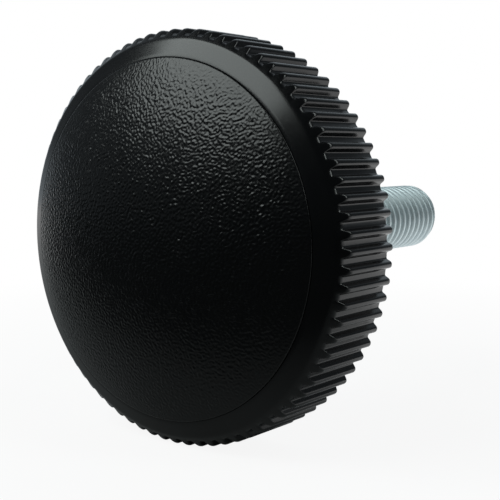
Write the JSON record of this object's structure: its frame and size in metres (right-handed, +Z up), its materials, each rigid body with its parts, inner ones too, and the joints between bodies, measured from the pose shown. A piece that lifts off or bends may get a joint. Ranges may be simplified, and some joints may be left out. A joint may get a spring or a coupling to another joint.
{
  "type": "knurled knob with threaded stud",
  "caption": "Round black clamping knob with a domed grained face, a ribbed rim and a threaded steel stud moulded into its hub.",
  "frame": {"origin": "on the knob's axis, in the plane of the hub's seat face, where the stud leaves the hub", "axes": "+Y along the stud, away from the head; the domed face looks along -Y; +Z up; a web lies along +X"},
  "size_m": [0.05, 0.0653, 0.05],
  "materials": {
    "knob_body": "moulded black, satin, with a leather-like grain on the face",
    "threaded_stud": "bright zinc plated"
  },
  "bodies": {
    "root": {"knob_body": "knob_body", "threaded_stud": "threaded_stud"}
  },
  "joints": []
}
